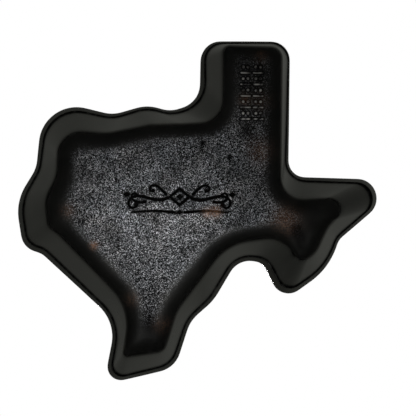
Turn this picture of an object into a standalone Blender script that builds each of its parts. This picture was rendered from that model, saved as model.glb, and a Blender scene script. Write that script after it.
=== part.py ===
# Cast-iron skillet in the shape of a state map, one casting with no separate handle.
#
# Upright as it stands on a stove: +Z up, the base on z = 0, the mouth up, north along +Y
# and east along +X. The long panhandle to the north is what the hand holds.
# The whole pan is one loft. Nine closed outlines with the same corners are stacked from
# the edge of the base, out round the heel, up the wall, round the rim's thicker band with
# its bevelled underside and down the inside to the floor, and each knee of that section
# is rounded.

import math

import bmesh
import bpy
import numpy as np

MM = 0.001              # the sizes below are in millimetres

DEPTH = 38.0            # underside of the base to the top of the rim
FLOOR = 4.5             # thickness of the floor
WALL = 4.0              # thickness of the wall, square to it, where it meets the floor
RIM_WIDTH = 4.5         # top of the rim, from its outer edge to the mouth
BAND = 8.5              # height of the thicker band that runs round the rim
BAND_DRAFT = 0.25       # how far the band's side leans in at its lower edge
LEDGE = 3.4             # width of the ledge under the band, from the rim's outer edge
BEVEL_WIDTH = 1.4       # width of the bevel on the band's lower edge
BEVEL_HEIGHT = 2.4      # height of the same

HEEL = 11.5             # reach of the rounded heel along the base and up the wall
INNER_FILLET = 5.5      # the same between the floor and the inside of the wall
CREASE = 1.2            # reach of the hollow fillet between the ledge and the wall
BAND_EDGE = 0.5         # reach of the roundings on the two edges of the bevel
RIM_EDGE = 1.2          # reach of the rounding on the rim's outer edge
MOUTH_EDGE = 1.3        # reach of the rounding on the mouth's edge
LEAST_CORNER = 3.0      # smallest corner radius, in plan, where an inset uses a corner up
LEAST_REACH = 2.0       # least reach of a corner's rounding along its edges, in plan
INNER_TIPS = 0.4        # share of the thickness by which the inside's tips are sharper

ARC_STEP = 12.0         # degrees of each facet round a corner of the outline
STRAIGHT_STEP = 15.0    # longest facet along a straight stretch of the outline
HEEL_FACETS = 5
FILLET_FACETS = 4
EDGE_FACETS = 2
FILLET_SHARE = 0.45     # a rounding takes at most this share of the face that it rounds
CORNER_SHARE = 0.96     # two corners' roundings take at most this share of their edge
INSET_SHARE = 0.85      # a heel or a fillet shortens an edge by at most this share of it

IRON_COLOUR = (0.020, 0.020, 0.018, 1.0)
IRON_ROUGHNESS = 0.42
IRON_METALLIC = 0.35

# The corners of the outline, clockwise as seen from above, from the grip's east corner.
# Rim: x, y and corner radius of the outer edge. Extra: how much wider the ledge is there.
# Foot: x, y and radius of the line where wall and base would meet with a sharp heel.
#    corner                       rim                    extra   foot
CORNERS = (
    ("panhandle_northeast",      (-1.0, 113.5, 13.0),   -1.2,   (-13.5, 104.0, 5.0)),
    ("panhandle_root_east",      (0.0, 72.5, 17.5),      0.0,   (-13.0, 55.0, 13.5)),
    ("river_first_dip",          (20.0, 65.5, 20.0),    -0.4,   (13.0, 53.5, 30.0)),
    ("river_rise",               (35.0, 70.0, 26.0),    -0.8,   (33.5, 52.5, 26.0)),
    ("river_second_dip",         (58.5, 63.0, 22.0),    -0.3,   (62.5, 46.5, 34.0)),
    ("northeast_corner",         (104.5, 74.0, 25.0),    0.8,   (95.0, 48.0, 15.0)),
    ("east_notch",               (109.0, 27.0, 21.0),   -0.2,   (92.0, 21.0, 27.0)),
    ("east_bulge",               (122.5, 5.0, 34.0),     1.2,   (100.0, 6.0, 21.0)),
    ("east_corner",              (117.5, -25.5, 12.5),   0.6,   (98.0, -11.0, 7.0)),
    ("coast_shoulder",           (105.0, -29.5, 7.0),    0.5,   (92.0, -16.0, 14.0)),
    ("coast_bend",               (56.0, -75.0, 28.0),   -1.1,   (47.0, -62.5, 32.0)),
    ("south_tip_east",           (64.0, -116.5, 9.0),    0.5,   (51.5, -94.0, 3.0)),
    ("south_tip_west",           (16.5, -106.0, 17.5),   0.0,   (26.0, -91.0, 6.5)),
    ("border_lower_curve",       (6.5, -74.5, 24.0),    -0.6,   (18.0, -65.0, 30.0)),
    ("border_middle_rise",       (-9.5, -61.0, 37.0),   -0.2,   (3.5, -45.5, 24.0)),
    ("arch_east",                (-26.0, -33.0, 15.0),   0.0,   (-15.0, -22.5, 36.0)),
    ("arch_west",                (-43.0, -36.0, 8.5),    0.4,   (-53.5, -16.5, 17.0)),
    ("big_bend_tip",             (-56.0, -62.0, 11.5),   1.4,   (-61.0, -38.0, 3.0)),
    ("big_bend_west",            (-88.0, -39.5, 48.0),  -0.3,   (-72.5, -28.0, 18.0)),
    ("west_notch",               (-94.5, -20.5, 9.5),   -0.2,   (-80.5, -11.0, 20.0)),
    ("west_tip",                 (-143.5, 20.0, 13.5),   2.4,   (-104.0, 10.0, 8.5)),
    ("panhandle_root_west",      (-60.0, 22.0, 11.0),   -0.7,   (-49.0, 3.0, 14.0)),
    ("panhandle_northwest",      (-61.0, 114.0, 12.5),  -1.9,   (-49.5, 103.0, 7.5)),
)


def clear_scene():
    """Remove the objects that the file opened with."""
    for thing in list(bpy.data.objects):
        bpy.data.objects.remove(thing, do_unlink=True)


def edge_lengths(corners):
    """Length of the edge that leaves each corner of a closed outline."""
    return np.linalg.norm(np.roll(corners, -1, axis=0) - corners, axis=1)


def directions(corners):
    """Unit vectors along the edge into each corner and along the edge out of it."""
    edge = np.roll(corners, -1, axis=0) - corners
    out = edge / edge_lengths(corners)[:, None]
    return np.roll(out, 1, axis=0), out


def turn_signs_and_angles(corners):
    """How each corner turns: 1 for an outward corner and -1 for a notch, with its angle."""
    into, out = directions(corners)
    cross = into[:, 0] * out[:, 1] - into[:, 1] * out[:, 0]
    dot = (into * out).sum(axis=1)
    return -np.sign(cross), np.abs(np.arctan2(cross, dot))


def miters(corners):
    """Vector that moves each corner inward so that both its edges move in by 1."""
    into, out = directions(corners)
    inward_before = np.column_stack((into[:, 1], -into[:, 0]))
    inward_after = np.column_stack((out[:, 1], -out[:, 0]))
    spread = 1.0 + (inward_before * inward_after).sum(axis=1)
    return (inward_before + inward_after) / spread[:, None]


def inset(corners, radii, depth, tip_share=1.0):
    """Move an outline inward by a depth, one value or one for each corner.

    A notch's radius grows by the depth. An outward corner's radius shrinks by tip_share
    of it: less than all of it leaves more metal, or a wider ledge, round the tips.
    """
    depth = np.broadcast_to(depth, len(corners))
    moved = corners + miters(corners) * depth[:, None]
    sign, _ = turn_signs_and_angles(corners)
    change = np.where(sign > 0, -depth * tip_share, depth)
    return moved, np.maximum(radii + change, LEAST_CORNER)


def rounding_depth(corners, reach):
    """How far each corner moves in for a heel or a fillet, so that no edge is used up."""
    sign, angle = turn_signs_and_angles(corners)
    shortening = sign * np.tan(angle / 2.0) * reach
    taken = np.maximum(shortening + np.roll(shortening, -1), LEAST_REACH)
    share = np.minimum(1.0, INSET_SHARE * edge_lengths(corners) / taken)
    return reach * np.minimum(share, np.roll(share, 1))


def bend(start, knee, end, facets):
    """Points of the round arc from start to end that touches both legs of a knee."""
    leg_in = knee - start
    leg_out = end - knee
    lengths = np.linalg.norm(leg_in, axis=-1) * np.linalg.norm(leg_out, axis=-1)
    cosine = (leg_in * leg_out).sum(axis=-1) / lengths
    half = np.maximum(np.arccos(np.clip(cosine, -1.0, 1.0)), 0.001)[..., None] / 2.0
    points = []
    for share in np.linspace(0.0, 1.0, facets + 1):
        first = np.sin((1.0 - share) * half)
        last = np.sin(share * half)
        weights = (first ** 2, 2.0 * first * last * np.cos(half), last ** 2)
        total = sum(weights)
        points.append((weights[0] * start + weights[1] * knee + weights[2] * end) / total)
    return points


def facet_counts(corners):
    """How many facets each corner takes, and each straight stretch after it."""
    _, angle = turn_signs_and_angles(corners)
    round_facets = np.maximum(np.ceil(np.degrees(angle) / ARC_STEP), 2).astype(int)
    straight_facets = np.maximum(np.ceil(edge_lengths(corners) / STRAIGHT_STEP) - 1, 1)
    straight_facets = straight_facets.astype(int)
    return round_facets, straight_facets


def trace(corners, radii, counts):
    """Points along a closed outline with rounded corners, the same number for each outline."""
    into, out = directions(corners)
    _, angle = turn_signs_and_angles(corners)
    tangent = np.maximum(radii * np.tan(angle / 2.0), LEAST_REACH)
    room = CORNER_SHARE * edge_lengths(corners) / (tangent + np.roll(tangent, -1))
    room = np.minimum(room, 1.0)
    tangent = tangent * np.minimum(room, np.roll(room, 1))
    arc_start = corners - into * tangent[:, None]
    arc_end = corners + out * tangent[:, None]
    next_start = np.roll(arc_start, -1, axis=0)
    points = []
    for index, (round_facets, straight_facets) in enumerate(zip(*counts)):
        points += bend(arc_start[index], corners[index], arc_end[index], round_facets)
        for step in range(1, straight_facets):
            share = step / straight_facets
            points.append(arc_end[index] * (1.0 - share) + next_start[index] * share)
    return np.array(points)


def at_height(plan, height):
    """Lift an outline's points to a height."""
    return np.column_stack((plan, np.full(len(plan), height)))


def toward(point, target, reach):
    """The points that lie a reach along the way to their targets."""
    way = target - point
    length = np.linalg.norm(way, axis=1)
    share = np.minimum(reach / length, FILLET_SHARE)
    return point + way * share[:, None]


def knee_outlines():
    """The outline of each knee of the section, from the base's edge round to the floor's."""
    rim_corners = np.array([corner[1][:2] for corner in CORNERS])
    rim_radii = np.array([corner[1][2] for corner in CORNERS])
    ledge_width = LEDGE + np.array([corner[2] for corner in CORNERS])
    foot_corners = np.array([corner[3][:2] for corner in CORNERS])
    foot_radii = np.array([corner[3][2] for corner in CORNERS])
    counts = facet_counts(rim_corners)

    ledge_height = DEPTH - BAND
    ledge_corners, ledge_radii = inset(rim_corners, rim_radii, ledge_width)
    bevel_width = np.minimum(BEVEL_WIDTH, (ledge_width - BAND_DRAFT) / 2.0)

    # The inside of the wall lies a wall's thickness in from the outside, at the floor.
    outward = ledge_corners - foot_corners
    run = np.linalg.norm(outward, axis=1) / np.linalg.norm(miters(foot_corners), axis=1)
    slope = np.arctan2(ledge_height, run)
    thickness = WALL / np.sin(slope)
    inner_corners, inner_radii = inset(foot_corners, foot_radii, thickness, INNER_TIPS)
    inner_corners = inner_corners + outward * (FLOOR / ledge_height)

    heel = rounding_depth(foot_corners, HEEL)
    fillet = rounding_depth(inner_corners, INNER_FILLET)
    knees = {
        "sole": (*inset(foot_corners, foot_radii, heel), 0.0),
        "foot": (foot_corners, foot_radii, 0.0),
        "ledge": (ledge_corners, ledge_radii, ledge_height),
        "bevel": (*inset(rim_corners, rim_radii, BAND_DRAFT + bevel_width), ledge_height),
        "band": (*inset(rim_corners, rim_radii, BAND_DRAFT), ledge_height + BEVEL_HEIGHT),
        "rim": (rim_corners, rim_radii, DEPTH),
        "mouth": (*inset(rim_corners, rim_radii, RIM_WIDTH), DEPTH),
        "inner_foot": (inner_corners, inner_radii, FLOOR),
        "floor": (*inset(inner_corners, inner_radii, fillet), FLOOR),
    }
    traced = {}
    for name, (corners, radii, height) in knees.items():
        traced[name] = at_height(trace(corners, radii, counts), height)
    middle = (traced["rim"].min(axis=0) + traced["rim"].max(axis=0)) / 2.0
    middle[2] = 0.0
    return {name: points - middle for name, points in traced.items()}


def section_rings(knee):
    """Rings of the loft, in order along the section, with every knee rounded."""
    up_wall = toward(knee["foot"], knee["ledge"], HEEL)
    rings = bend(knee["sole"], knee["foot"], up_wall, HEEL_FACETS)
    edges = (
        ("foot", "ledge", "bevel", CREASE),
        ("ledge", "bevel", "band", BAND_EDGE),
        ("bevel", "band", "rim", BAND_EDGE),
        ("band", "rim", "mouth", RIM_EDGE),
        ("rim", "mouth", "inner_foot", MOUTH_EDGE),
    )
    for before, here, after, reach in edges:
        start = toward(knee[here], knee[before], reach)
        end = toward(knee[here], knee[after], reach)
        rings += bend(start, knee[here], end, EDGE_FACETS)
    down_wall = toward(knee["inner_foot"], knee["mouth"], INNER_FILLET)
    rings += bend(down_wall, knee["inner_foot"], knee["floor"], FILLET_FACETS)
    return rings


def loft(name, rings):
    """Closed mesh through rings of the same count, with a flat face on the first and last."""
    shape = bmesh.new()
    loops = [[shape.verts.new(point * MM) for point in ring] for ring in rings]
    for lower, upper in zip(loops, loops[1:]):
        for here in range(len(lower)):
            there = (here + 1) % len(lower)
            shape.faces.new((lower[here], lower[there], upper[there], upper[here]))
    shape.faces.new(loops[0])
    shape.faces.new(loops[-1])
    bmesh.ops.recalc_face_normals(shape, faces=shape.faces)
    mesh = bpy.data.meshes.new(name)
    shape.to_mesh(mesh)
    shape.free()
    mesh.shade_smooth()
    mesh.set_sharp_from_angle(angle=math.radians(35.0))
    return mesh


def seasoned_iron():
    """Material of the oiled, near-black casting."""
    material = bpy.data.materials.new("seasoned_iron")
    material.use_nodes = True
    shader = material.node_tree.nodes["Principled BSDF"]
    shader.inputs["Base Color"].default_value = IRON_COLOUR
    shader.inputs["Roughness"].default_value = IRON_ROUGHNESS
    shader.inputs["Metallic"].default_value = IRON_METALLIC
    return material


def main():
    clear_scene()
    group = bpy.data.collections.new("skillet")
    bpy.context.scene.collection.children.link(group)
    mesh = loft("skillet_casting", section_rings(knee_outlines()))
    mesh.materials.append(seasoned_iron())
    group.objects.link(bpy.data.objects.new("skillet_casting", mesh))


main()
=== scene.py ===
# Looks of a cast-iron skillet in the shape of a state map.
# The pan stands upright on its base; the camera looks up at the outer underside from below.

import itertools
import math

import bpy
import numpy as np
from mathutils import Matrix, Vector
from mathutils.geometry import delaunay_2d_cdt


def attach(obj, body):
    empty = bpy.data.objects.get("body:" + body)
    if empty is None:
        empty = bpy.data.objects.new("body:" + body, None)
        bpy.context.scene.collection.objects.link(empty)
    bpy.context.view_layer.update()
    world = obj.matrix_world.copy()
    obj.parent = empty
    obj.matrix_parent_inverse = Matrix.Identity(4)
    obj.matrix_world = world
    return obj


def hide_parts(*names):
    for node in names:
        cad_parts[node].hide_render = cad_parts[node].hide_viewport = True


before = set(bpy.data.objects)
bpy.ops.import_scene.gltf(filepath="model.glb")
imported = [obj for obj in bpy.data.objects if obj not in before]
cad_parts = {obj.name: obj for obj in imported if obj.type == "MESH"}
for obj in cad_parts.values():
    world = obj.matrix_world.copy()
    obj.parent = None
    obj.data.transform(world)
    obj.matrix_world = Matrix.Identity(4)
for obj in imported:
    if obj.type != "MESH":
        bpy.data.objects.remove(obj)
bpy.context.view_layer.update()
print("frame loaded")

millimetre = 0.001      # lengths in the dictionaries are in millimetres unless a note says metres

casting = {
    "depth": 38.0,          # underside of the base to the top of the rim
    "floor": 4.5,           # thickness of the floor
    "wall": 4.0,            # thickness of the wall where it meets the floor
    "rimWidth": 4.5,        # top of the rim
    "band": 8.5,            # height of the thicker band round the rim
    "bandDraft": 0.0,       # lean of the band's side at its lower edge
    "middle": (0.205, 0.112),   # x and y that become 0, halfway across the solid's rim
    "ledge": 3.2,           # width of the ledge under the band, with the bevel
    "ledgeTips": 0.6,       # share of that width by which the ledge's tips are sharper
    "ledgeFlat": 0.9,       # flat part of the ledge beside the wall
    "leastBevel": 0.5,      # least width of the bevel on the band's lower edge
    "bevelSlope": 1.45,     # rise of that bevel over its width
    "heel": 6.0,            # reach of the rounded heel up the wall
    "fillet": 5.5,          # reach of the fillet inside
    "crease": 3.0,          # reach of the hollow under the ledge, down the wall
    "creaseWidth": 0.3,     # reach of that hollow along the ledge
    "bevelEdge": 0.3,       # reach of the roundings on the bevel's two edges
    "rimEdge": 1.2,         # reach of the rounding on the rim's outer edge
    "mouthEdge": 1.3,       # reach of the rounding on the mouth's edge
    "leastCorner": 3.0,     # smallest corner radius where an inset uses a corner up
    "leastReach": 2.0,      # least reach of a corner's rounding along its edges
    "innerTips": 0.4,       # share of the wall by which the inside's tips are sharper
    "insetShare": 0.85,     # a heel shortens an edge by at most this share of it
    "cornerShare": 0.96,    # two corners' roundings take at most this share of their edge
    "roundingShare": 0.45,  # a rounding takes at most this share of the face that it rounds
    "heelFacets": 10,
    "filletFacets": 7,
    "insideSteps": 8,       # rings down the inside of the wall
    "stations": 720,        # points round the outline, evenly spaced along the rim
    "softening": 1.2,       # stations over which the outline's curvature is smoothed
    "bevelEvening": 4.0,    # stations over which the bevel's height is smoothed
    # clockwise seen from above: rim x, y, radius, extra ledge width, foot x, y, radius and
    # the reach of the heel along the base
    "corners": (
        (-1.0, 113.2, 13.0, -0.8, -13.5, 106.0, 5.0, 8.5),     # grip, east corner of its end
        (0.0, 72.5, 17.5, 0.6, -13.0, 55.0, 13.5, 9.5),        # grip, east root
        (20.0, 65.5, 20.0, -0.4, 13.0, 53.5, 30.0, 10.0),
        (35.0, 70.0, 26.0, -0.7, 33.5, 52.5, 26.0, 10.0),
        (58.5, 63.1, 22.0, 0.0, 62.5, 46.5, 34.0, 11.0),
        (104.5, 74.2, 25.0, 1.1, 95.0, 48.0, 15.0, 12.0),      # north-east corner
        (109.0, 27.0, 21.0, -0.2, 92.0, 21.0, 27.0, 12.5),
        (122.5, 5.0, 34.0, 0.9, 100.0, 6.0, 21.0, 15.0),       # east bulge
        (117.5, -25.7, 12.5, 0.6, 98.0, -11.0, 7.0, 14.5),
        (105.0, -29.7, 7.0, 0.8, 92.0, -16.0, 14.0, 12.0),
        (56.0, -75.0, 28.0, -0.6, 47.0, -62.5, 32.0, 11.5),
        (64.0, -116.7, 9.0, 0.1, 51.5, -94.0, 3.0, 11.5),      # south tip
        (16.5, -106.0, 17.5, 0.6, 26.0, -91.0, 6.5, 11.5),
        (6.3, -74.5, 24.0, -0.2, 18.0, -65.0, 30.0, 13.5),
        (-9.5, -61.0, 37.0, 0.6, 3.5, -45.5, 24.0, 13.5),
        (-26.0, -33.0, 15.0, 0.1, -15.0, -22.5, 36.0, 10.5),   # arch
        (-43.0, -36.0, 8.5, 0.4, -53.5, -16.5, 17.0, 10.5),
        (-56.0, -62.4, 11.3, 1.0, -63.5, -34.0, 7.0, 7.0),     # south-west lobe
        (-88.0, -39.5, 48.0, 0.3, -72.5, -28.0, 18.0, 9.0),
        (-94.5, -20.5, 9.5, 0.0, -80.5, -11.0, 20.0, 9.0),
        (-143.5, 20.3, 13.1, 0.5, -104.0, 10.0, 8.5, 11.5),    # west tip
        (-60.0, 22.2, 11.0, -0.1, -50.0, 1.4, 14.0, 12.5),     # grip, west root
        (-61.0, 113.7, 12.5, -1.9, -51.0, 105.0, 7.5, 9.5),    # grip, west corner of its end
    ),
}


def lengths(vectors):
    # root of the sum of the squares, one for each row
    return np.linalg.norm(vectors, axis=-1, keepdims=True)


def turning(corners):
    # unit vectors into and out of each corner, its turn (1 outward, -1 notch) and its angle
    out = np.roll(corners, -1, axis=0) - corners
    out = out / lengths(out)
    into = np.roll(out, 1, axis=0)
    cross = into[:, 0] * out[:, 1] - into[:, 1] * out[:, 0]
    return into, out, -np.sign(cross), np.abs(np.arctan2(cross, (into * out).sum(axis=1)))


def edgeLengths(corners):
    # from each corner to the next one
    return lengths(np.roll(corners, -1, axis=0) - corners)[:, 0]


def mitres(corners):
    # the vector that moves a corner inward so that both its edges move in by 1
    into, out, _, _ = turning(corners)
    before = np.column_stack((into[:, 1], -into[:, 0]))
    after = np.column_stack((out[:, 1], -out[:, 0]))
    return (before + after) / (1.0 + (before * after).sum(axis=1, keepdims=True))


def inset(corners, radii, depth, tipShare=1.0):
    # corners move in along their mitres; a notch's radius grows, an outward one shrinks
    depth = np.broadcast_to(depth, len(corners))
    _, _, turn, _ = turning(corners)
    change = np.where(turn > 0, -depth * tipShare, depth)
    moved = corners + mitres(corners) * depth[:, None]
    return moved, np.maximum(radii + change, casting["leastCorner"])


def roundingDepth(corners, reach):
    # a heel or a fillet moves in by its reach, or less where an edge would be used up
    _, _, turn, angle = turning(corners)
    shortening = turn * np.tan(angle / 2.0) * reach
    taken = np.maximum(shortening + np.roll(shortening, -1), casting["leastReach"])
    share = np.minimum(1.0, casting["insetShare"] * edgeLengths(corners) / taken)
    return reach * np.minimum(share, np.roll(share, 1))


def cornerReach(corners, radii):
    # where each corner's arc starts and ends: radius times the tangent of half its turn
    into, out, _, angle = turning(corners)
    reach = np.maximum(radii * np.tan(angle / 2.0), casting["leastReach"])
    room = casting["cornerShare"] * edgeLengths(corners) / (reach + np.roll(reach, -1))
    room = np.minimum(room, 1.0)
    reach = (reach * np.minimum(room, np.roll(room, 1)))[:, None]
    return corners - into * reach, corners + out * reach


def arcPoint(start, knee, end, share, leastAngle=0.001):
    # round arc that touches both legs of a knee: a blend of the three points by the squares
    # and the product of the sines of the angles still to go and already gone
    legIn, legOut = knee - start, end - knee
    cosine = (legIn * legOut).sum(axis=-1, keepdims=True) / (lengths(legIn) * lengths(legOut))
    half = np.maximum(np.arccos(np.clip(cosine, -1.0, 1.0)), leastAngle) / 2.0
    first, last = np.sin((1.0 - share) * half), np.sin(share * half)
    middle = 2.0 * first * last * np.cos(half)
    total = first ** 2 + middle + last ** 2
    return (first ** 2 * start + middle * knee + last ** 2 * end) / total


def evenStations(corners, radii, count):
    # stations evenly spaced along the rim: the corner each belongs to, whether it lies on
    # that corner's arc or on the straight after it, and its share of the way along
    start, end = cornerReach(corners, radii)
    _, _, _, angle = turning(corners)
    tangent = lengths(corners - start)[:, 0]
    arc = tangent / np.tan(angle / 2.0) * angle
    straight = lengths(np.roll(start, -1, axis=0) - end)[:, 0]
    stretch = np.column_stack((arc, straight)).ravel()
    stops = np.concatenate(([0.0], np.cumsum(stretch)))
    along = np.arange(count) * stops[-1] / count
    part = np.searchsorted(stops, along, side="right") - 1
    return part // 2, part % 2 == 0, ((along - stops[part]) / stretch[part])[:, None]


def outline(corners, radii, height, stations):
    # the closed outline's point at each station, with its curvature evened out
    owner, onArc, share = stations
    start, end = cornerReach(corners, radii)
    following = np.roll(start, -1, axis=0)
    onStraight = end[owner] * (1.0 - share) + following[owner] * share
    onCorner = arcPoint(start[owner], corners[owner], end[owner], share)
    plan = evenedOut(np.where(onArc[:, None], onCorner, onStraight), casting["softening"])
    return np.column_stack((plan, np.full(len(plan), height)))


def evenedOut(values, width):
    # moving average round the closed outline, its weights a bell cut off at three widths
    reach = int(math.ceil(3.0 * width))
    steps = np.arange(-reach, reach + 1)
    weights = np.exp(-0.5 * (steps / width) ** 2)
    weights = weights / weights.sum()
    return sum(w * np.roll(values, step, axis=0) for w, step in zip(weights, steps))


def knees():
    # the sharp corner lines of the wall's section, from the base's edge round to the floor's
    table = np.array(casting["corners"])
    rim, rimRadii, foot, footRadii = table[:, 0:2], table[:, 2], table[:, 4:6], table[:, 6]
    stations = evenStations(rim, rimRadii, casting["stations"])
    ledgeHeight = casting["depth"] - casting["band"]
    ledgeWidth, draft = casting["ledge"] + table[:, 3], casting["bandDraft"]
    bevelInset = np.maximum(ledgeWidth - casting["ledgeFlat"], draft + casting["leastBevel"])
    ledge, ledgeRadii = inset(rim, rimRadii, ledgeWidth, casting["ledgeTips"])
    outward = ledge - foot
    run = lengths(outward)[:, 0] / lengths(mitres(foot))[:, 0]
    thickness = casting["wall"] / np.sin(np.arctan2(ledgeHeight, run))
    inner, innerRadii = inset(foot, footRadii, thickness, casting["innerTips"])
    inner = inner + outward * (casting["floor"] / ledgeHeight)
    heel = roundingDepth(foot, table[:, 7])
    fillet = roundingDepth(inner, casting["fillet"])
    lines = {
        "sole": (*inset(foot, footRadii, heel), 0.0),
        "foot": (foot, footRadii, 0.0),
        "ledge": (ledge, ledgeRadii, ledgeHeight),
        "bevel": (*inset(rim, rimRadii, bevelInset, casting["ledgeTips"]), ledgeHeight),
        "band": (*inset(rim, rimRadii, draft), ledgeHeight),
        "rim": (rim, rimRadii, casting["depth"]),
        "mouth": (*inset(rim, rimRadii, casting["rimWidth"]), casting["depth"]),
        "innerFoot": (inner, innerRadii, casting["floor"]),
        "floor": (*inset(inner, innerRadii, fillet), casting["floor"]),
    }
    traced = {name: outline(*line, stations) for name, line in lines.items()}
    # the bevel rises by its width times its slope
    rise = casting["bevelSlope"] * lengths(traced["band"] - traced["bevel"])
    traced["band"][:, 2:] += evenedOut(rise, casting["bevelEvening"])
    return {name: points - (*casting["middle"], 0.0) for name, points in traced.items()}


def toward(point, target, reach):
    # the point at a reach along the way to the target, or a share of the way if that is less
    way = target - point
    return point + way * np.minimum(reach / lengths(way), casting["roundingShare"])


def sectionRings():
    # rings of the wall: an arc at each knee and even steps along the faces between
    at = knees()
    rings = []

    def addArc(start, knee, end, facets):
        for share in np.linspace(0.0, 1.0, facets + 1):
            rings.append(arcPoint(start, knee, end, share))

    def addFace(target, steps):
        last = rings[-1]
        for step in range(1, steps):
            rings.append(last + (target - last) * step / steps)

    heelEnd = toward(at["foot"], at["ledge"], casting["heel"])
    addArc(at["sole"], at["foot"], heelEnd, casting["heelFacets"])
    # knee before, knee, knee after, reaches back and on, steps up to the arc and its facets
    knots = (
        ("foot", "ledge", "bevel", casting["crease"], casting["creaseWidth"], 7, 5),
        ("ledge", "bevel", "band", casting["bevelEdge"], casting["bevelEdge"], 2, 4),
        ("bevel", "band", "rim", casting["bevelEdge"], casting["bevelEdge"], 4, 4),
        ("band", "rim", "mouth", casting["rimEdge"], casting["rimEdge"], 2, 5),
        ("rim", "mouth", "innerFoot", casting["mouthEdge"], casting["mouthEdge"], 2, 5),
    )
    for before, here, after, reachBack, reachOn, steps, facets in knots:
        start = toward(at[here], at[before], reachBack)
        addFace(start, steps)
        addArc(start, at[here], toward(at[here], at[after], reachOn), facets)
    start = toward(at["innerFoot"], at["mouth"], casting["fillet"])
    addFace(start, casting["insideSteps"])
    addArc(start, at["innerFoot"], at["floor"], casting["filletFacets"])
    return np.array(rings)


def latticeNoise(points, pitch, seed):
    # smooth random values from -1 to 1: a random table on a cubic lattice, blended between
    # the eight lattice points round each point by the smoothstep of its place in the cell
    cells = points / pitch
    whole = np.floor(cells).astype(int)
    part = cells - whole
    part = part * part * (3.0 - 2.0 * part)
    whole = whole - whole.min(axis=0)
    table = np.random.default_rng(seed).uniform(-1.0, 1.0, whole.max(axis=0) + 2)
    total = np.zeros(len(points))
    for side in itertools.product((0, 1), repeat=3):
        weight = np.where(side, part, 1.0 - part).prod(axis=1)
        total += weight * table[tuple((whole + side).T)]
    return total


def insideOutline(points, ring):
    # a point is inside if a ray along +X crosses the ring an odd number of times
    inside = np.zeros(len(points), bool)
    for a, b in zip(ring, np.roll(ring, -1, axis=0)):
        if a[1] != b[1]:
            straddles = (points[:, 1] < a[1]) != (points[:, 1] < b[1])
            crossing = a[0] + (points[:, 1] - a[1]) * (b[0] - a[0]) / (b[1] - a[1])
            inside ^= straddles & (points[:, 0] < crossing)
    return inside


def distanceTo(points, line, block=4000):
    # distance from each point to the nearest of a line's closely spaced points, a block of
    # points at a time
    found = np.empty(len(points))
    for first in range(0, len(points), block):
        part = points[first:first + block, None, :] - line[None, :, :]
        found[first:first + block] = np.sqrt((part ** 2).sum(axis=2).min(axis=1))
    return found


def hexPoints(low, high, pitch):
    # rows of points a pitch apart, every other row moved by half a pitch
    rows = np.arange(low[1], high[1], pitch * math.sqrt(3.0) / 2.0)
    columns = np.arange(low[0], high[0], pitch)
    x, y = np.meshgrid(columns, rows)
    x = x + (np.arange(len(rows)) % 2)[:, None] * pitch / 2.0
    return np.column_stack((x.ravel(), y.ravel()))


def fillOutline(ring, pitch, finePatches=(), finePitch=1.0, clearance=0.55):
    # a flat triangle net inside a ring: even points, closer ones in the patches, and none
    # nearer to the ring than a clearance in pitches
    points = hexPoints(ring.min(axis=0), ring.max(axis=0), pitch)
    layers = []
    for low, high in finePatches:
        within = ((points > low) & (points < high)).all(axis=1)
        points = points[~within]
        layers.append(hexPoints(low, high, finePitch))
    points = np.concatenate([points] + layers)
    points = points[insideOutline(points, ring)]
    points = points[distanceTo(points, ring) > clearance * pitch]
    every = np.concatenate((ring, points))
    border = [(k, (k + 1) % len(ring)) for k in range(len(ring))]
    result = delaunay_2d_cdt([Vector(p) for p in every], border, [], 1, 1e-6)
    came = np.array([source[0] for source in result[3]])
    return points, came[np.array(result[2])]


farAway = 9.0           # distance given to points that are well away from a shape

ornament = {
    "centre": (15.5, 7.0),  # on the base
    "depth": 0.55,          # of the cast grooves
    "edge": 0.35,           # width over which a groove's side falls
    "lip": 0.05,            # height of the soft lip along a groove
    "lipPlace": (0.5, 0.5),     # its distance from the groove and half its width
    "finePitch": 0.42,      # of the triangle net under it and under the marks on the grip
    "reach": (37.0, 13.0),  # half of the patch that the finer net covers
    "scrollPoints": 260,
    "curlDot": 1.5,         # radius of the dot that ends a scroll, in half widths of its start
    # scrolls of one side: start, heading, length, first and last bend per mm, half widths
    "scrolls": (
        ((7.6, -0.6), -28.0, 36.0, 0.085, -0.52, 0.80, 0.45),
        ((8.6, 1.6), 42.0, 17.0, 0.03, -0.85, 0.65, 0.40),
        ((22.0, -3.2), -12.0, 16.0, 0.05, 0.80, 0.60, 0.40),
    ),
    "lozenge": (6.2, 5.2, 0.62),        # half length, half height and half width of its line
    "lozengeHeart": (2.0, 1.7),
    "endLozenge": (34.0, 1.5, 2.2, 1.5),    # place and half sizes
    "rule": (-10.0, 3.2, 31.0, 0.9, 0.60),  # height, start, end, bow and half width
    "rulePoints": 160,
    "ruleTaper": 0.75,      # share of its width that the rule loses towards its end
    "ruleLozenge": (1.9, 1.3),
}

pips = {
    "columns": (-27.2, -35.4),  # x of the two rows of raised marks on the grip
    "low": 57.5,            # y of the first mark of a row
    "pitch": 3.75,          # from mark to mark
    "count": 10,            # marks in a row
    "height": 0.5,          # that they stand out
    "edge": 0.45,           # width over which a mark's side falls
    "shade": 1.2,           # width of the painted shade round a mark
    "bar": (2.9, 0.35),     # half length and half width of a bar
    "dots": (1.55, 0.75),   # place beside the row's middle and radius of a pair of dots
    "margin": (5.0, 2.5),   # of the finer net beside the rows and below them
}

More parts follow.
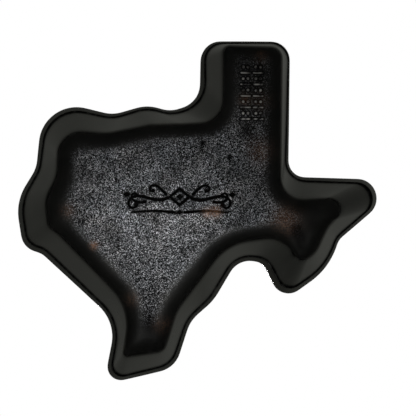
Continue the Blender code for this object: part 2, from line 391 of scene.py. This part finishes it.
surface = {
    "basePitch": 1.0,       # of the triangle net of the base
    "floorPitch": 2.6,      # of the triangle net of the floor inside
    "grainHeight": 0.04,    # of the base's cast grain, from hollow to crest
    "grainPitch": 2.0,
    "grainFine": (0.6, 1.1),    # share and pitch of a finer grain on top of it
    "waveHeight": 0.05,     # of the slow unevenness of the whole skin
    "wavePitch": 14.0,
    "waveFine": (0.3, 5.0),     # share and pitch of smaller waves on top of it
    "floorWave": (0.5, 9.0),    # share and pitch of the waves of the floor inside
    "grainFade": 1.2,       # width over which the grain starts at the base's edge
    "heelGrain": (0.9, 0.6, 0.25, 0.05),    # share of the grain up the heel, ring by ring
    "gripStart": 46.0,      # y where the base's grain starts to weaken towards the grip's end
    "gripEnd": 72.0,
    "gripGrain": 0.65,      # share of the grain that is left on the grip
    # the grain fades where an arm of the base starts: heading in degrees, start and end
    "smoothArms": ((-90.0, 70.0, 82.0), (180.0, 56.0, 68.0), (207.0, 61.0, 72.0)),
    "insideGrain": 0.22,    # the finer grain of the cooking side
    "insideStart": 8,       # where it starts, in rings past the rim's highest
    "wornHighlightTops": (0.55, 0.9, 1.6),   # wear and painted highlight of the marks' tops: mean, spread and pitch
    "pipShade": 0.95,       # how dark the painted shade is round the marks on the grip
    # painted shade up the heel, ring by ring
    "heelShade": (0.1, 0.25, 0.4, 0.45, 0.45, 0.4, 0.35, 0.2, 0.05),
    # and painted shade along the crease under the band
    "creaseShade": (0.1, 0.4, 0.8, 0.95, 0.95, 0.95, 0.95, 0.9, 0.2),
    "creaseRing": 17,       # the first of those rings
    "creasePitch": 1.7,     # of the crease's raggedness
    "creaseEvenness": 0.95,     # mean share of its painted shade
    "creaseRaggedness": 0.4,    # and how much that varies along the crease
}

# places where the skin is darker and rougher: painted shade beside the south-west lobe and towards
# the west arm, and darker patches elsewhere; x, y, z, radius and strength
shadeAndBlotchSpots = (
    (38.0, -75.0, 0.0, 20.0, 0.50),
    (48.0, -42.0, 0.0, 15.0, 0.30),
    (27.0, 33.0, 0.0, 22.0, 0.25),
    (-25.0, 18.0, 0.0, 20.0, 0.25),
    (0.7, 41.3, 0.0, 2.6, 1.00),
    (-16.7, 32.4, 0.0, 1.5, 1.00),
    (-35.6, 33.2, 0.0, 1.2, 1.00),
    (-27.7, 50.7, 0.0, 5.5, 0.75),
    (15.0, -42.0, 0.0, 12.0, 0.25),
    (36.0, -79.5, 0.0, 8.5, 0.25),
    (31.5, -77.5, 0.0, 6.0, 0.20),
    (-54.0, -16.5, 1.0, 7.0, 0.55),
    (-63.0, -17.0, 0.0, 9.0, 0.35),
    (-72.0, -12.0, 0.0, 6.0, 0.40),
    (-62.0, 0.5, 0.0, 8.0, 0.50),
    (-74.5, -1.0, 0.0, 8.0, 0.50),
)

# matt places on the smooth skin, the same way
mattSpots = (
    (-60.8, -13.5, 0.5, 4.0, 1.0),
    (-62.8, -19.0, 0.5, 4.5, 1.0),
    (-64.1, -25.0, 0.5, 4.5, 1.0),
)

# rust-brown spots on the skin, the same way
rustSpots = (
    (70.3, -24.3, 0.0, 2.2, 1.0),
    (103.3, -6.8, 15.0, 1.3, 1.6),
    (87.4, -2.0, 1.0, 4.0, 0.3),
    (-2.5, -3.2, 0.0, 2.6, 0.9),
    (-8.0, -2.8, 0.0, 3.0, 0.9),
    (47.4, -59.3, 0.0, 4.0, 0.3),
    (25.1, -75.3, 0.5, 5.0, 0.3),
    (-54.0, -7.5, 0.0, 8.0, 0.5),
    (-37.6, 98.6, 0.0, 4.0, 0.4),
    (-26.5, 70.0, 0.0, 3.5, 0.4),
    (-38.0, 69.0, 0.0, 6.0, 0.2),
    (-37.5, 37.0, 0.0, 8.0, 0.25),
)


def scrollLine(start, heading, length, bendFirst, bendLast):
    # a line whose bend grows with the square of the way along it, so that it ends in a curl
    share = np.linspace(0.0, 1.0, ornament["scrollPoints"])
    way = share * length
    angle = math.radians(heading) + bendFirst * way
    angle = angle + (bendLast - bendFirst) * way * share ** 2 / 3.0
    step = length / (len(share) - 1)
    run = np.column_stack((np.cos(angle), np.sin(angle))) * step
    return np.array(start) + np.cumsum(run, axis=0) - run[0], share


def strokeDistance(points, line, halfWidths, stride=6, closeBy=6.0):
    # how far each point lies outside a stroke whose half width changes along its line; only
    # points close to every few of the line's points are worked out
    found = np.full(len(points), farAway)
    near = distanceTo(points, line[::stride]) < closeBy
    part = points[near][:, None, :] - line[None, :, :]
    found[near] = (np.sqrt((part ** 2).sum(axis=2)) - halfWidths[None, :]).min(axis=1)
    return found


def lozengeDistance(points, halfLength, halfHeight):
    # distance to the sides of a rhombus, negative inside
    scale = halfLength * halfHeight / math.hypot(halfLength, halfHeight)
    return (np.abs(points[:, 0]) / halfLength + np.abs(points[:, 1]) / halfHeight - 1.0) * scale


def ornamentDistance(points):
    # how far each point of the base lies outside the ornament's grooves, both sides alike
    local = points - ornament["centre"]
    local[:, 0] = np.abs(local[:, 0])
    found = np.full(len(points), farAway)
    limit = np.array(ornament["reach"]) + 1.0
    within = (local < limit).all(axis=1) & (local[:, 1] > -limit[1])
    near = local[within]
    shapes = []
    for start, heading, length, first, last, wide, narrow in ornament["scrolls"]:
        line, share = scrollLine(start, heading, length, first, last)
        shapes.append(strokeDistance(near, line, wide + (narrow - wide) * share))
        shapes.append(lengths(near - line[-1])[:, 0] - ornament["curlDot"] * wide)
    halfLength, halfHeight, halfWidth = ornament["lozenge"]
    shapes.append(np.abs(lozengeDistance(near, halfLength, halfHeight)) - halfWidth)
    shapes.append(lozengeDistance(near, *ornament["lozengeHeart"]))
    x, y, halfLength, halfHeight = ornament["endLozenge"]
    shapes.append(lozengeDistance(near - (x, y), halfLength, halfHeight))
    height, first, last, bow, halfWidth = ornament["rule"]
    share = np.linspace(0.0, 1.0, ornament["rulePoints"])
    line = np.column_stack((first + (last - first) * share, height + bow * np.sin(math.pi * share)))
    shapes.append(strokeDistance(near, line, halfWidth * (1.0 - ornament["ruleTaper"] * share)))
    shapes.append(lozengeDistance(near - (0.0, height), *ornament["ruleLozenge"]))
    found[within] = np.min(shapes, axis=0)
    return found


def pipDistance(points):
    # how far each point of the base lies outside the raised bars and dots on the grip
    shapes = [np.full(len(points), farAway)]
    halfLength, halfWidth = pips["bar"]
    aside, radius = pips["dots"]
    for x in pips["columns"]:
        for k in range(pips["count"]):
            local = np.abs(points - (x, pips["low"] + k * pips["pitch"]))
            if k % 2:
                shapes.append(np.hypot(local[:, 0] - aside, local[:, 1]) - radius)
            else:
                over = np.maximum(local - (halfLength, 0.0), 0.0)
                shapes.append(np.hypot(over[:, 0], over[:, 1]) - halfWidth)
    return np.min(shapes, axis=0)


def smoothFall(distance, width):
    # 1 inside a shape, 0 beyond the width outside it, with a soft fall between
    share = np.clip(1.0 - distance / width, 0.0, 1.0)
    return share * share * (3.0 - 2.0 * share)


def grainPlace(plan):
    # share of grain at each point of the base: less on the grip, none on the ends of the arms
    grip = np.clip((plan[:, 1] - surface["gripStart"])
                   / (surface["gripEnd"] - surface["gripStart"]), 0.0, 1.0)
    amount = 1.0 + (surface["gripGrain"] - 1.0) * grip
    for heading, first, last in surface["smoothArms"]:
        way = np.array((math.cos(math.radians(heading)), math.sin(math.radians(heading))))
        amount = amount * smoothFall(plan @ way - first, last - first)
    return amount


def baseRelief(plan, edgeDistance):
    # height of the base's skin, how grained it is, its painted shade, and its wear with a painted
    # highlight, at each point of the net
    amount = (1.0 - smoothFall(edgeDistance, surface["grainFade"])) * grainPlace(plan)
    groove = ornamentDistance(plan)
    inGroove = smoothFall(groove, ornament["edge"])
    lipAway, lipWidth = ornament["lipPlace"]
    lip = smoothFall(np.abs(groove - lipAway), lipWidth)
    mark = smoothFall(pipDistance(plan), pips["edge"])
    flat = np.column_stack((plan, np.zeros(len(plan))))
    share, pitch = surface["grainFine"]
    grain = latticeNoise(flat, surface["grainPitch"], seed=11)
    grain = grain + share * latticeNoise(flat, pitch, seed=12)
    height = surface["grainHeight"] * 0.5 * grain * amount
    height = height * (1.0 - inGroove) + ornament["depth"] * inGroove
    height = height - ornament["lip"] * lip * (1.0 - inGroove) - pips["height"] * mark
    besideMark = smoothFall(pipDistance(plan) - pips["edge"], pips["shade"]) * (1.0 - mark)
    # painted shade in the ornament's grooves and round the raised marks
    paintedShade = np.maximum(inGroove, surface["pipShade"] * besideMark)
    # lighter tops of the marks: wear and a painted highlight
    mean, spread, pitch = surface["wornHighlightTops"]
    wornHighlight = mark ** 2 * np.clip(mean + spread * latticeNoise(flat, pitch, seed=14), 0.0, 1.0)
    return height, amount * (1.0 - inGroove), paintedShade, wornHighlight


def ringNormals(rings):
    # outward normals of the ring grid: across the ring direction and the way round
    around = np.roll(rings, -1, axis=1) - np.roll(rings, 1, axis=1)
    along = np.gradient(rings, axis=0)
    normal = np.cross(along, around)
    return normal / np.maximum(lengths(normal), 1e-9)


def castingMesh():
    # points, triangles and attributes: the rings of the wall, closed by the nets of the base
    # and of the floor inside
    rings = sectionRings()
    rows, count = rings.shape[:2]
    sole, floor = rings[0, :, :2], rings[-1, :, :2]
    normals = ringNormals(rings)
    normals[0], normals[-1] = (0.0, 0.0, -1.0), (0.0, 0.0, 1.0)
    skin = rings.reshape(-1, 3)
    wave = surface["waveHeight"] * latticeNoise(skin, surface["wavePitch"], seed=5)
    share, pitch = surface["waveFine"]
    wave = wave + share * surface["waveHeight"] * latticeNoise(skin, pitch, seed=6)
    # the waves fade out towards the flat base and the floor
    calm = np.ones((rows, 1))
    calm[0], calm[-1] = 0.0, 0.0
    calm[1], calm[-2] = 0.5, 0.5
    skin = skin + normals.reshape(-1, 3) * (wave.reshape(rows, count) * calm).reshape(-1, 1)
    print("casting: walls done,", rows, "rings")

    reach = np.array(ornament["reach"])
    centre = np.array(ornament["centre"])
    aside, below = pips["margin"]
    gripLow = np.array((min(pips["columns"]) - aside, pips["low"] - below))
    pipsTop = pips["low"] + pips["count"] * pips["pitch"]
    gripHigh = np.array((max(pips["columns"]) + aside, pipsTop))
    patches = ((centre - reach, centre + reach), (gripLow, gripHigh))
    plan, baseFaces = fillOutline(sole, surface["basePitch"], patches, ornament["finePitch"])
    height, grain, paintedShade, wornHighlight = baseRelief(plan, distanceTo(plan, sole))
    base = np.column_stack((plan, height))
    print("casting: base done,", len(baseFaces), "triangles")
    plan, floorFaces = fillOutline(floor, surface["floorPitch"])
    share, pitch = surface["floorWave"]
    level = np.column_stack((plan, np.zeros(len(plan))))
    dip = share * surface["waveHeight"] * latticeNoise(level, pitch, seed=7)
    inside = np.column_stack((plan, casting["floor"] + dip))

    index = np.arange(rows * count).reshape(rows, count)
    here, there = index, np.roll(index, -1, axis=1)
    quads = np.stack((here[:-1], here[1:], there[1:], there[:-1]), axis=-1).reshape(-1, 4)
    walls = np.concatenate((quads[:, (0, 1, 2)], quads[:, (0, 2, 3)]))
    baseFaces = np.where(baseFaces < count, baseFaces, baseFaces - count + rows * count)
    floorStart = rows * count + len(base)
    onRing = floorFaces < count
    floorFaces = np.where(onRing, floorFaces + index[-1, 0], floorFaces - count + floorStart)
    faces = np.concatenate((walls, baseFaces[:, ::-1], floorFaces))
    points = np.concatenate((skin, base, inside))

    topRow = int(np.argmax(rings[:, 0, 2]))
    wallGrain = np.zeros((rows, count))
    fade = np.array(surface["heelGrain"])[:, None]
    wallGrain[:len(fade)] = fade * grainPlace(sole)
    wallGrain[topRow + surface["insideStart"]:] = surface["insideGrain"]
    floorGrain = np.full(len(inside), surface["insideGrain"])
    grain = np.concatenate((wallGrain.ravel(), grain, floorGrain))
    # painted shade up the heel and along the crease under the band, then in the spots
    ringShade = np.zeros((rows, count))
    ringShade[:len(surface["heelShade"])] = np.array(surface["heelShade"])[:, None]
    first, shade = surface["creaseRing"], surface["creaseShade"]
    ragged = latticeNoise(rings[first + len(shade) // 2], surface["creasePitch"], seed=15)
    ragged = surface["creaseEvenness"] + surface["creaseRaggedness"] * ragged
    ringShade[first:first + len(shade)] = np.array(shade)[:, None] * ragged
    paintedShade = np.concatenate((np.clip(ringShade, 0.0, 1.0).ravel(), paintedShade, np.zeros(len(inside))))
    paintedShade = np.maximum(paintedShade, spotAmount(points, shadeAndBlotchSpots))
    wornHighlight = np.concatenate((np.zeros(rows * count), wornHighlight, np.zeros(len(inside))))
    matt, rust = spotAmount(points, mattSpots), spotAmount(points, rustSpots)
    return points, faces, {"grain": grain, "paintedShade": paintedShade, "wornHighlight": wornHighlight, "matt": matt, "rust": rust}


def spotAmount(points, spots):
    # each spot fades as a bell with the distance from its centre
    total = np.zeros(len(points))
    for x, y, z, radius, strength in spots:
        total += strength * np.exp(-((lengths(points - (x, y, z))[:, 0] / radius) ** 2))
    return np.minimum(total, 1.0)


def makeMesh(name, points, faces, attributes):
    # points in millimetres; each attribute gives one value for each point
    mesh = bpy.data.meshes.new(name)
    mesh.from_pydata((points * millimetre).tolist(), [], faces.tolist())
    for label, values in attributes.items():
        mesh.attributes.new(label, "FLOAT", "POINT").data.foreach_set("value", values)
    mesh.shade_smooth()
    piece = bpy.data.objects.new(name, mesh)
    bpy.context.scene.collection.objects.link(piece)
    return piece


points, faces, attributes = castingMesh()
skillet = makeMesh("skillet_shell", points, faces, attributes)
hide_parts("skillet_casting")
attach(skillet, "root")
print("casting:", len(faces), "triangles")


# shader helpers

def addNode(tree, kind, place, **settings):
    node = tree.nodes.new(kind)
    node.location = place
    for key, value in settings.items():
        setattr(node, key, value)
    return node


def setInputs(node, values):
    for key, value in values.items():
        node.inputs[key].default_value = value
    return node


def mathNode(tree, operation, first, second, place, clamp=False):
    node = addNode(tree, "ShaderNodeMath", place, operation=operation, use_clamp=clamp)
    for socket, value in zip(node.inputs, (first, second)):
        if isinstance(value, (int, float)):
            socket.default_value = value
        else:
            tree.links.new(value, socket)
    return node.outputs[0]


def slopeNode(tree, value, slope, start, place, clamp=False):
    # a value times a slope, plus a start
    result = mathNode(tree, "MULTIPLY_ADD", value, slope, place, clamp)
    result.node.inputs[2].default_value = start
    return result


def attributeNode(tree, name, place):
    return addNode(tree, "ShaderNodeAttribute", place, attribute_name=name).outputs["Fac"]


def mixColour(tree, share, first, second, place):
    node = addNode(tree, "ShaderNodeMix", place, data_type="RGBA")
    sockets = (node.inputs[0], node.inputs[6], node.inputs[7])
    for socket, value in zip(sockets, (share, first, second)):
        if isinstance(value, (int, float, tuple)):
            socket.default_value = value
        else:
            tree.links.new(value, socket)
    return node.outputs[2]


def startGroup(name, inputs, outputs):
    group = bpy.data.node_groups.new(name, "ShaderNodeTree")
    for label, kind, value in inputs:
        socket = group.interface.new_socket(label, in_out="INPUT", socket_type=kind)
        socket.default_value = value
    for label, kind in outputs:
        group.interface.new_socket(label, in_out="OUTPUT", socket_type=kind)
    start = addNode(group, "NodeGroupInput", (-900, 0))
    end = addNode(group, "NodeGroupOutput", (700, 0))
    return group, start, end


def noise(tree, vector, settings, place):
    node = addNode(tree, "ShaderNodeTexNoise", place)
    setInputs(node, dict(zip(("Scale", "Detail", "Roughness"), settings)))
    tree.links.new(vector, node.inputs["Vector"])
    return node.outputs[0]


iron = {
    # the iron counts as a metal, so each colour says how much light that skin throws back
    "skin": (0.0380, 0.0385, 0.0375, 1.0),      # oiled seasoning
    "skinWarm": (0.0460, 0.0455, 0.0430, 1.0),  # where the oil has set thicker
    "grainDark": (0.0040, 0.0040, 0.0042, 1.0),     # the dullest sand facets of the base
    "grainBright": (0.3120, 0.3080, 0.3100, 1.0),   # and the brightest
    "grainCool": (0.2920, 0.3060, 0.3280, 1.0),     # the same where the skin looks bluish
    "paintedShadeColour": (0.0012, 0.0012, 0.0012, 1.0),    # painted shade: the grooves, the crease under the band, the heel, round the marks and the spots
    "wornHighlight": (0.4800, 0.4700, 0.4500, 1.0),  # tops of the marks on the grip: rubbed bare, and brighter as a painted highlight
    "rust": (0.170, 0.072, 0.027, 1.0),
    "smoothRoughness": 0.24,
    "grainRoughness": 0.29,
    "oilRoughness": 0.10,   # how much the roughness varies with the oil's patches
    # how much rougher the skin is where it is rusty, under the painted shade or matt
    "rustRoughness": 0.30,
    "paintedShadeRoughness": 0.25,
    "mattRoughness": 0.45,
    # noises: scale per metre, detail and roughness
    "oilNoise": (45.0, 4.0, 0.6),
    "patchNoise": (60.0, 2.0, 0.6),
    "speckleNoise": (900.0, 3.0, 0.6),
    "sandNoise": (0.8, 0.5),    # detail and roughness of the sand's fine noise
    "cellSoftness": 0.35,       # of the round cells of the sand
    "cellDepth": -0.55,         # their share beside the fine noise, downwards
    "pebbles": 2000.0,      # per metre
    "pebbleHeight": 0.00020,    # metres
    "skinHeight": 0.000012,     # metres
    "facets": 1.2,          # sand facets to a pebble's width
    "facetPower": 5.2,      # how few of the facets are bright
    # start and steepness of the base's slow patches, of the oil's and of the rust
    "patches": (-0.2, 2.4),
    "oilPatches": (-1.1, 3.0),
    "rustFlecks": (-1.1, 3.2),
}


def sandGrain():
    # pebbly cast skin: fine noise with the round cells of the sand, as one height
    group, start, end = startGroup("sandGrain", (("Scale", "NodeSocketFloat", 600.0),),
                                   (("Height", "NodeSocketFloat"), ("Facets", "NodeSocketFloat")))
    at = addNode(group, "ShaderNodeTexCoord", (-900, 200)).outputs["Object"]
    fine = addNode(group, "ShaderNodeTexNoise", (-600, 200))
    setInputs(fine, dict(zip(("Detail", "Roughness"), iron["sandNoise"])))
    cells = addNode(group, "ShaderNodeTexVoronoi", (-600, -150), feature="SMOOTH_F1")
    setInputs(cells, {"Smoothness": iron["cellSoftness"]})
    for node in (fine, cells):
        group.links.new(at, node.inputs["Vector"])
        group.links.new(start.outputs["Scale"], node.inputs["Scale"])
    hollow = mathNode(group, "MULTIPLY", cells.outputs["Distance"], iron["cellDepth"], (-350, -150))
    height = mathNode(group, "ADD", fine.outputs[0], hollow, (-150, 50))
    facets = addNode(group, "ShaderNodeTexVoronoi", (-350, -400))
    group.links.new(at, facets.inputs["Vector"])
    closer = mathNode(group, "MULTIPLY", start.outputs["Scale"], iron["facets"], (-600, -400))
    group.links.new(closer, facets.inputs["Scale"])
    single = addNode(group, "ShaderNodeSeparateColor", (-100, -400))
    group.links.new(facets.outputs["Color"], single.inputs[0])
    group.links.new(height, end.inputs["Height"])
    group.links.new(single.outputs[0], end.inputs["Facets"])
    return group


def seasonedIron():
    # smooth oiled skin, sand facets where the grain is, then wear with a painted highlight, painted
    # shade and rust over them
    material = bpy.data.materials.new("seasonedIron")
    material.use_nodes = True
    tree = material.node_tree
    shader = tree.nodes["Principled BSDF"]
    at = addNode(tree, "ShaderNodeTexCoord", (-1500, 0)).outputs["Object"]
    grainShare = attributeNode(tree, "grain", (-1500, -300))
    rustShare = attributeNode(tree, "rust", (-1500, -500))
    paintedShadeShare = attributeNode(tree, "paintedShade", (-1500, -700))
    wornHighlightShare = attributeNode(tree, "wornHighlight", (-1500, -900))
    mattShare = attributeNode(tree, "matt", (-1500, -1100))
    grains = addNode(tree, "ShaderNodeGroup", (-1200, -150), node_tree=sandGrain())
    grains.inputs["Scale"].default_value = iron["pebbles"]
    oil = noise(tree, at, iron["oilNoise"], (-1200, 300))
    speckle = noise(tree, at, iron["speckleNoise"], (-1200, -450))

    start, slope = iron["oilPatches"]
    tint = slopeNode(tree, oil, slope, start, (-950, 300), clamp=True)
    skin = mixColour(tree, tint, iron["skin"], iron["skinWarm"], (-750, 300))
    patches = noise(tree, at, iron["patchNoise"], (-1200, -850))
    start, slope = iron["patches"]
    patches = slopeNode(tree, patches, slope, start, (-950, -850))
    facets = mathNode(tree, "POWER", grains.outputs["Facets"], iron["facetPower"], (-950, -650))
    facets = mathNode(tree, "MULTIPLY", facets, patches, (-800, -750), clamp=True)
    bright = mixColour(tree, tint, iron["grainCool"], iron["grainBright"], (-750, 450))
    sand = mixColour(tree, facets, iron["grainDark"], bright, (-600, 450))
    skin = mixColour(tree, grainShare, skin, sand, (-550, 250))
    start, slope = iron["rustFlecks"]
    rustMask = slopeNode(tree, speckle, slope, start, (-950, -450))
    rustMask = mathNode(tree, "MULTIPLY", rustMask, rustShare, (-750, -450), clamp=True)
    # the marks' tops: wear and a painted highlight
    skin = mixColour(tree, wornHighlightShare, skin, iron["wornHighlight"], (-500, 450))
    # painted shade: grooves, crease, heel, round the marks and the spots
    skin = mixColour(tree, paintedShadeShare, skin, iron["paintedShadeColour"], (-450, 250))
    colour = mixColour(tree, rustMask, skin, iron["rust"], (-350, 250))
    tree.links.new(colour, shader.inputs["Base Color"])

    bare = mathNode(tree, "SUBTRACT", 1.0, rustMask, (-200, 150))
    tree.links.new(bare, shader.inputs["Metallic"])

    lowest = iron["smoothRoughness"] - iron["oilRoughness"] / 2.0
    rough = slopeNode(tree, oil, iron["oilRoughness"], lowest, (-550, 0))
    rougher = (
        (grainShare, iron["grainRoughness"] - iron["smoothRoughness"]),
        (rustMask, iron["rustRoughness"]),
        (paintedShadeShare, iron["paintedShadeRoughness"]),
        (mattShare, iron["mattRoughness"]),
    )
    for row, (share, addition) in enumerate(rougher):
        more = mathNode(tree, "MULTIPLY", share, addition, (-550, -150 - 150 * row))
        rough = mathNode(tree, "ADD", rough, more, (-350 + 50 * row, 0))
    tree.links.new(rough, shader.inputs["Roughness"])

    pebbles = mathNode(tree, "MULTIPLY", grains.outputs["Height"], grainShare, (-800, -150))
    bump = addNode(tree, "ShaderNodeBump", (-300, -300))
    setInputs(bump, {"Strength": 1.0, "Distance": iron["pebbleHeight"]})
    tree.links.new(pebbles, bump.inputs["Height"])
    fine = addNode(tree, "ShaderNodeBump", (-100, -300))
    setInputs(fine, {"Strength": 1.0, "Distance": iron["skinHeight"]})
    tree.links.new(speckle, fine.inputs["Height"])
    tree.links.new(bump.outputs[0], fine.inputs["Normal"])
    tree.links.new(fine.outputs[0], shader.inputs["Normal"])
    return material


skillet.data.materials.append(seasonedIron())
print("material: seasoned iron done")


# stage: a pale floor under the pan, dark below it, and a glowing surround that the walls mirror

stage = {
    "floorSize": 7.0,           # metres, half of its side
    "floorHeight": -0.0004,     # metres
    "floorColour": (0.80, 0.80, 0.79, 1.0),
    "darkRadius": 6.0,          # metres
    "darkDepth": -1.35,         # metres
    "darkCentre": 0.001,        # metres, the hole in the middle of its bottom
    "darkColour": (0.24, 0.24, 0.24, 1.0),
    "surroundRadius": 5.5,      # metres
    "surroundTop": 90.0,        # degrees above the floor
    "surroundRings": 24,
    "surroundColour": (0.02, 0.02, 0.02, 1.0),
    "surroundTint": (1.0, 1.02, 0.92),
    # how brightly the surround glows at a height in degrees above the floor
    "surroundTones": ((0.0, 0.20), (8.0, 0.24), (20.0, 0.28), (34.0, 0.24),
                      (54.0, 0.19), (64.0, 0.13), (74.0, 0.10), (84.0, 0.03)),
    "roughness": 0.9,           # of the floor, the dark part and the surround
    "worldLight": 0.9,          # strength of the world as a light
    "worldSeen": 1.0,           # and as the camera and reflections see it
}


def surfaceOfTurning(name, radii, heights, spokes=96):
    # a profile turned round the upright axis: radius times cosine, radius times sine, height
    angle = np.linspace(0.0, 2.0 * math.pi, spokes, endpoint=False)
    radii, heights = np.array(radii), np.array(heights)
    x = radii[:, None] * np.cos(angle)
    y = radii[:, None] * np.sin(angle)
    z = np.broadcast_to(heights[:, None], x.shape)
    points = np.stack((x, y, z), axis=-1).reshape(-1, 3) / millimetre
    index = np.arange(len(points)).reshape(x.shape)
    there = np.roll(index, -1, axis=1)
    quads = np.stack((index[:-1], there[:-1], there[1:], index[1:]), axis=-1).reshape(-1, 4)
    piece = makeMesh(name, points, quads, {})
    return piece


def stageMaterial(name, colour):
    material = bpy.data.materials.new(name)
    material.use_nodes = True
    shader = material.node_tree.nodes["Principled BSDF"]
    setInputs(shader, {"Base Color": colour, "Roughness": stage["roughness"],
                       "Specular IOR Level": 0.0})
    return material


def throughFor(material, factor):
    # the material lets rays through where the factor is 1
    tree = material.node_tree
    shader, output = tree.nodes["Principled BSDF"], tree.nodes["Material Output"]
    clear = addNode(tree, "ShaderNodeBsdfTransparent", (100, -200))
    mix = addNode(tree, "ShaderNodeMixShader", (300, 0))
    tree.links.new(factor(tree), mix.inputs[0])
    tree.links.new(shader.outputs[0], mix.inputs[1])
    tree.links.new(clear.outputs[0], mix.inputs[2])
    tree.links.new(mix.outputs[0], output.inputs[0])


def fromBelow(tree):
    # 1 for a ray that meets the floor's underside, or that has already come up through it
    back = addNode(tree, "ShaderNodeNewGeometry", (-300, -200)).outputs["Backfacing"]
    passed = addNode(tree, "ShaderNodeLightPath", (-500, -400)).outputs["Transparent Depth"]
    passed = mathNode(tree, "GREATER_THAN", passed, 0.5, (-300, -400))
    return mathNode(tree, "MAXIMUM", back, passed, (-100, -250))


def cameraRay(tree):
    return addNode(tree, "ShaderNodeLightPath", (-300, -300)).outputs["Is Camera Ray"]


half = stage["floorSize"]
floorPoints = np.array(((-half, -half), (half, -half), (half, half), (-half, half)))
floorPoints = np.column_stack((floorPoints, np.full(4, stage["floorHeight"]))) / millimetre
paleFloor = makeMesh("pale_floor", floorPoints, np.array(((0, 1, 2, 3),)), {})
paleFloor.data.materials.append(stageMaterial("paleFloor", stage["floorColour"]))
throughFor(paleFloor.data.materials[0], fromBelow)

radius, depth = stage["darkRadius"], stage["darkDepth"]
bowlTop = stage["floorHeight"] * 2.0    # just under the floor
darkBowl = surfaceOfTurning("dark_bowl", (stage["darkCentre"], radius, radius),
                            (depth, depth, bowlTop))
darkBowl.data.materials.append(stageMaterial("darkBowl", stage["darkColour"]))

rise = np.radians(np.linspace(0.0, stage["surroundTop"], stage["surroundRings"]))
surround = surfaceOfTurning("grey_surround", stage["surroundRadius"] * np.cos(rise),
                            stage["surroundRadius"] * np.sin(rise))
grey = stageMaterial("greySurround", stage["surroundColour"])
tree = grey.node_tree
at = addNode(tree, "ShaderNodeTexCoord", (-900, 0)).outputs["Object"]
height = addNode(tree, "ShaderNodeSeparateXYZ", (-700, 0))
tree.links.new(at, height.inputs[0])
share = mathNode(tree, "DIVIDE", height.outputs["Z"], stage["surroundRadius"], (-500, 0))
tones = addNode(tree, "ShaderNodeValToRGB", (-300, 0))
tree.links.new(share, tones.inputs[0])
stops = tones.color_ramp.elements
for number, (degrees, tone) in enumerate(stage["surroundTones"]):
    stop = stops[number] if number < 2 else stops.new(1.0)
    stop.position = math.sin(math.radians(degrees))
    stop.color = tuple(tone * part for part in stage["surroundTint"]) + (1.0,)
shader = tree.nodes["Principled BSDF"]
tree.links.new(tones.outputs[0], shader.inputs["Emission Color"])
shader.inputs["Emission Strength"].default_value = 1.0
throughFor(grey, cameraRay)
surround.data.materials.append(grey)

world = bpy.data.worlds.new("studio")
bpy.context.scene.world = world
world.use_nodes = True
tree = world.node_tree
plain = tree.nodes["Background"]
setInputs(plain, {"Color": (1.0, 1.0, 1.0, 1.0), "Strength": stage["worldLight"]})
white = addNode(tree, "ShaderNodeBackground", (0, -200))
setInputs(white, {"Color": (1.0, 1.0, 1.0, 1.0), "Strength": stage["worldSeen"]})
rays = addNode(tree, "ShaderNodeLightPath", (-500, 0)).outputs
seen = mathNode(tree, "MAXIMUM", rays["Is Camera Ray"], rays["Is Glossy Ray"], (-300, 0))
seen = mathNode(tree, "MAXIMUM", seen, rays["Is Transmission Ray"], (-150, 0))
mix = addNode(tree, "ShaderNodeMixShader", (200, 0))
tree.links.new(seen, mix.inputs[0])
tree.links.new(plain.outputs[0], mix.inputs[1])
tree.links.new(white.outputs[0], mix.inputs[2])
tree.links.new(mix.outputs[0], tree.nodes["World Output"].inputs[0])

lamps = {
    # name: place and aim in metres, width, height, watts, spread in degrees
    "belowSoft": ((0.020, -0.020, -0.24), (0.026, -0.020, 0.0), 0.08, 0.08, 0.036, 52.0),
    "aboveSoft": ((0.0, 0.0, 2.4), (0.0, 0.0, 0.0), 0.5, 0.5, 50.0, 180.0),
}
for name, (place, aim, width, tall, watts, spread) in lamps.items():
    light = bpy.data.lights.new(name, "AREA")
    light.shape, light.size, light.size_y, light.energy = "RECTANGLE", width, tall, watts
    light.spread = math.radians(spread)
    lamp = bpy.data.objects.new(name, light)
    lamp.location = place
    lamp.rotation_euler = (Vector(aim) - Vector(place)).to_track_quat("-Z", "Y").to_euler()
    lamp.visible_camera = False
    bpy.context.scene.collection.objects.link(lamp)

view = {
    "place": (0.06367, -0.02281, -0.752),   # metres
    "aim": (-0.00613, 0.00097, 0.038),
    "focal": 1173.7 / 416.0,    # focal length as a share of the image's width
    "sensor": 36.0,
}
camera = bpy.data.objects.new("camera", bpy.data.cameras.new("camera"))
bpy.context.scene.collection.objects.link(camera)
camera.data.sensor_width = view["sensor"]
camera.data.lens = view["focal"] * view["sensor"]
forward = (Vector(view["aim"]) - Vector(view["place"])).normalized()
right = forward.cross(Vector((0.0, 1.0, 0.0))).normalized()
turned = Matrix((right, right.cross(forward), -forward)).transposed()
camera.matrix_world = Matrix.Translation(view["place"]) @ turned.to_4x4()
bpy.context.scene.camera = camera
bpy.context.scene.view_settings.view_transform = "Standard"
print("stage, lamps and camera done")
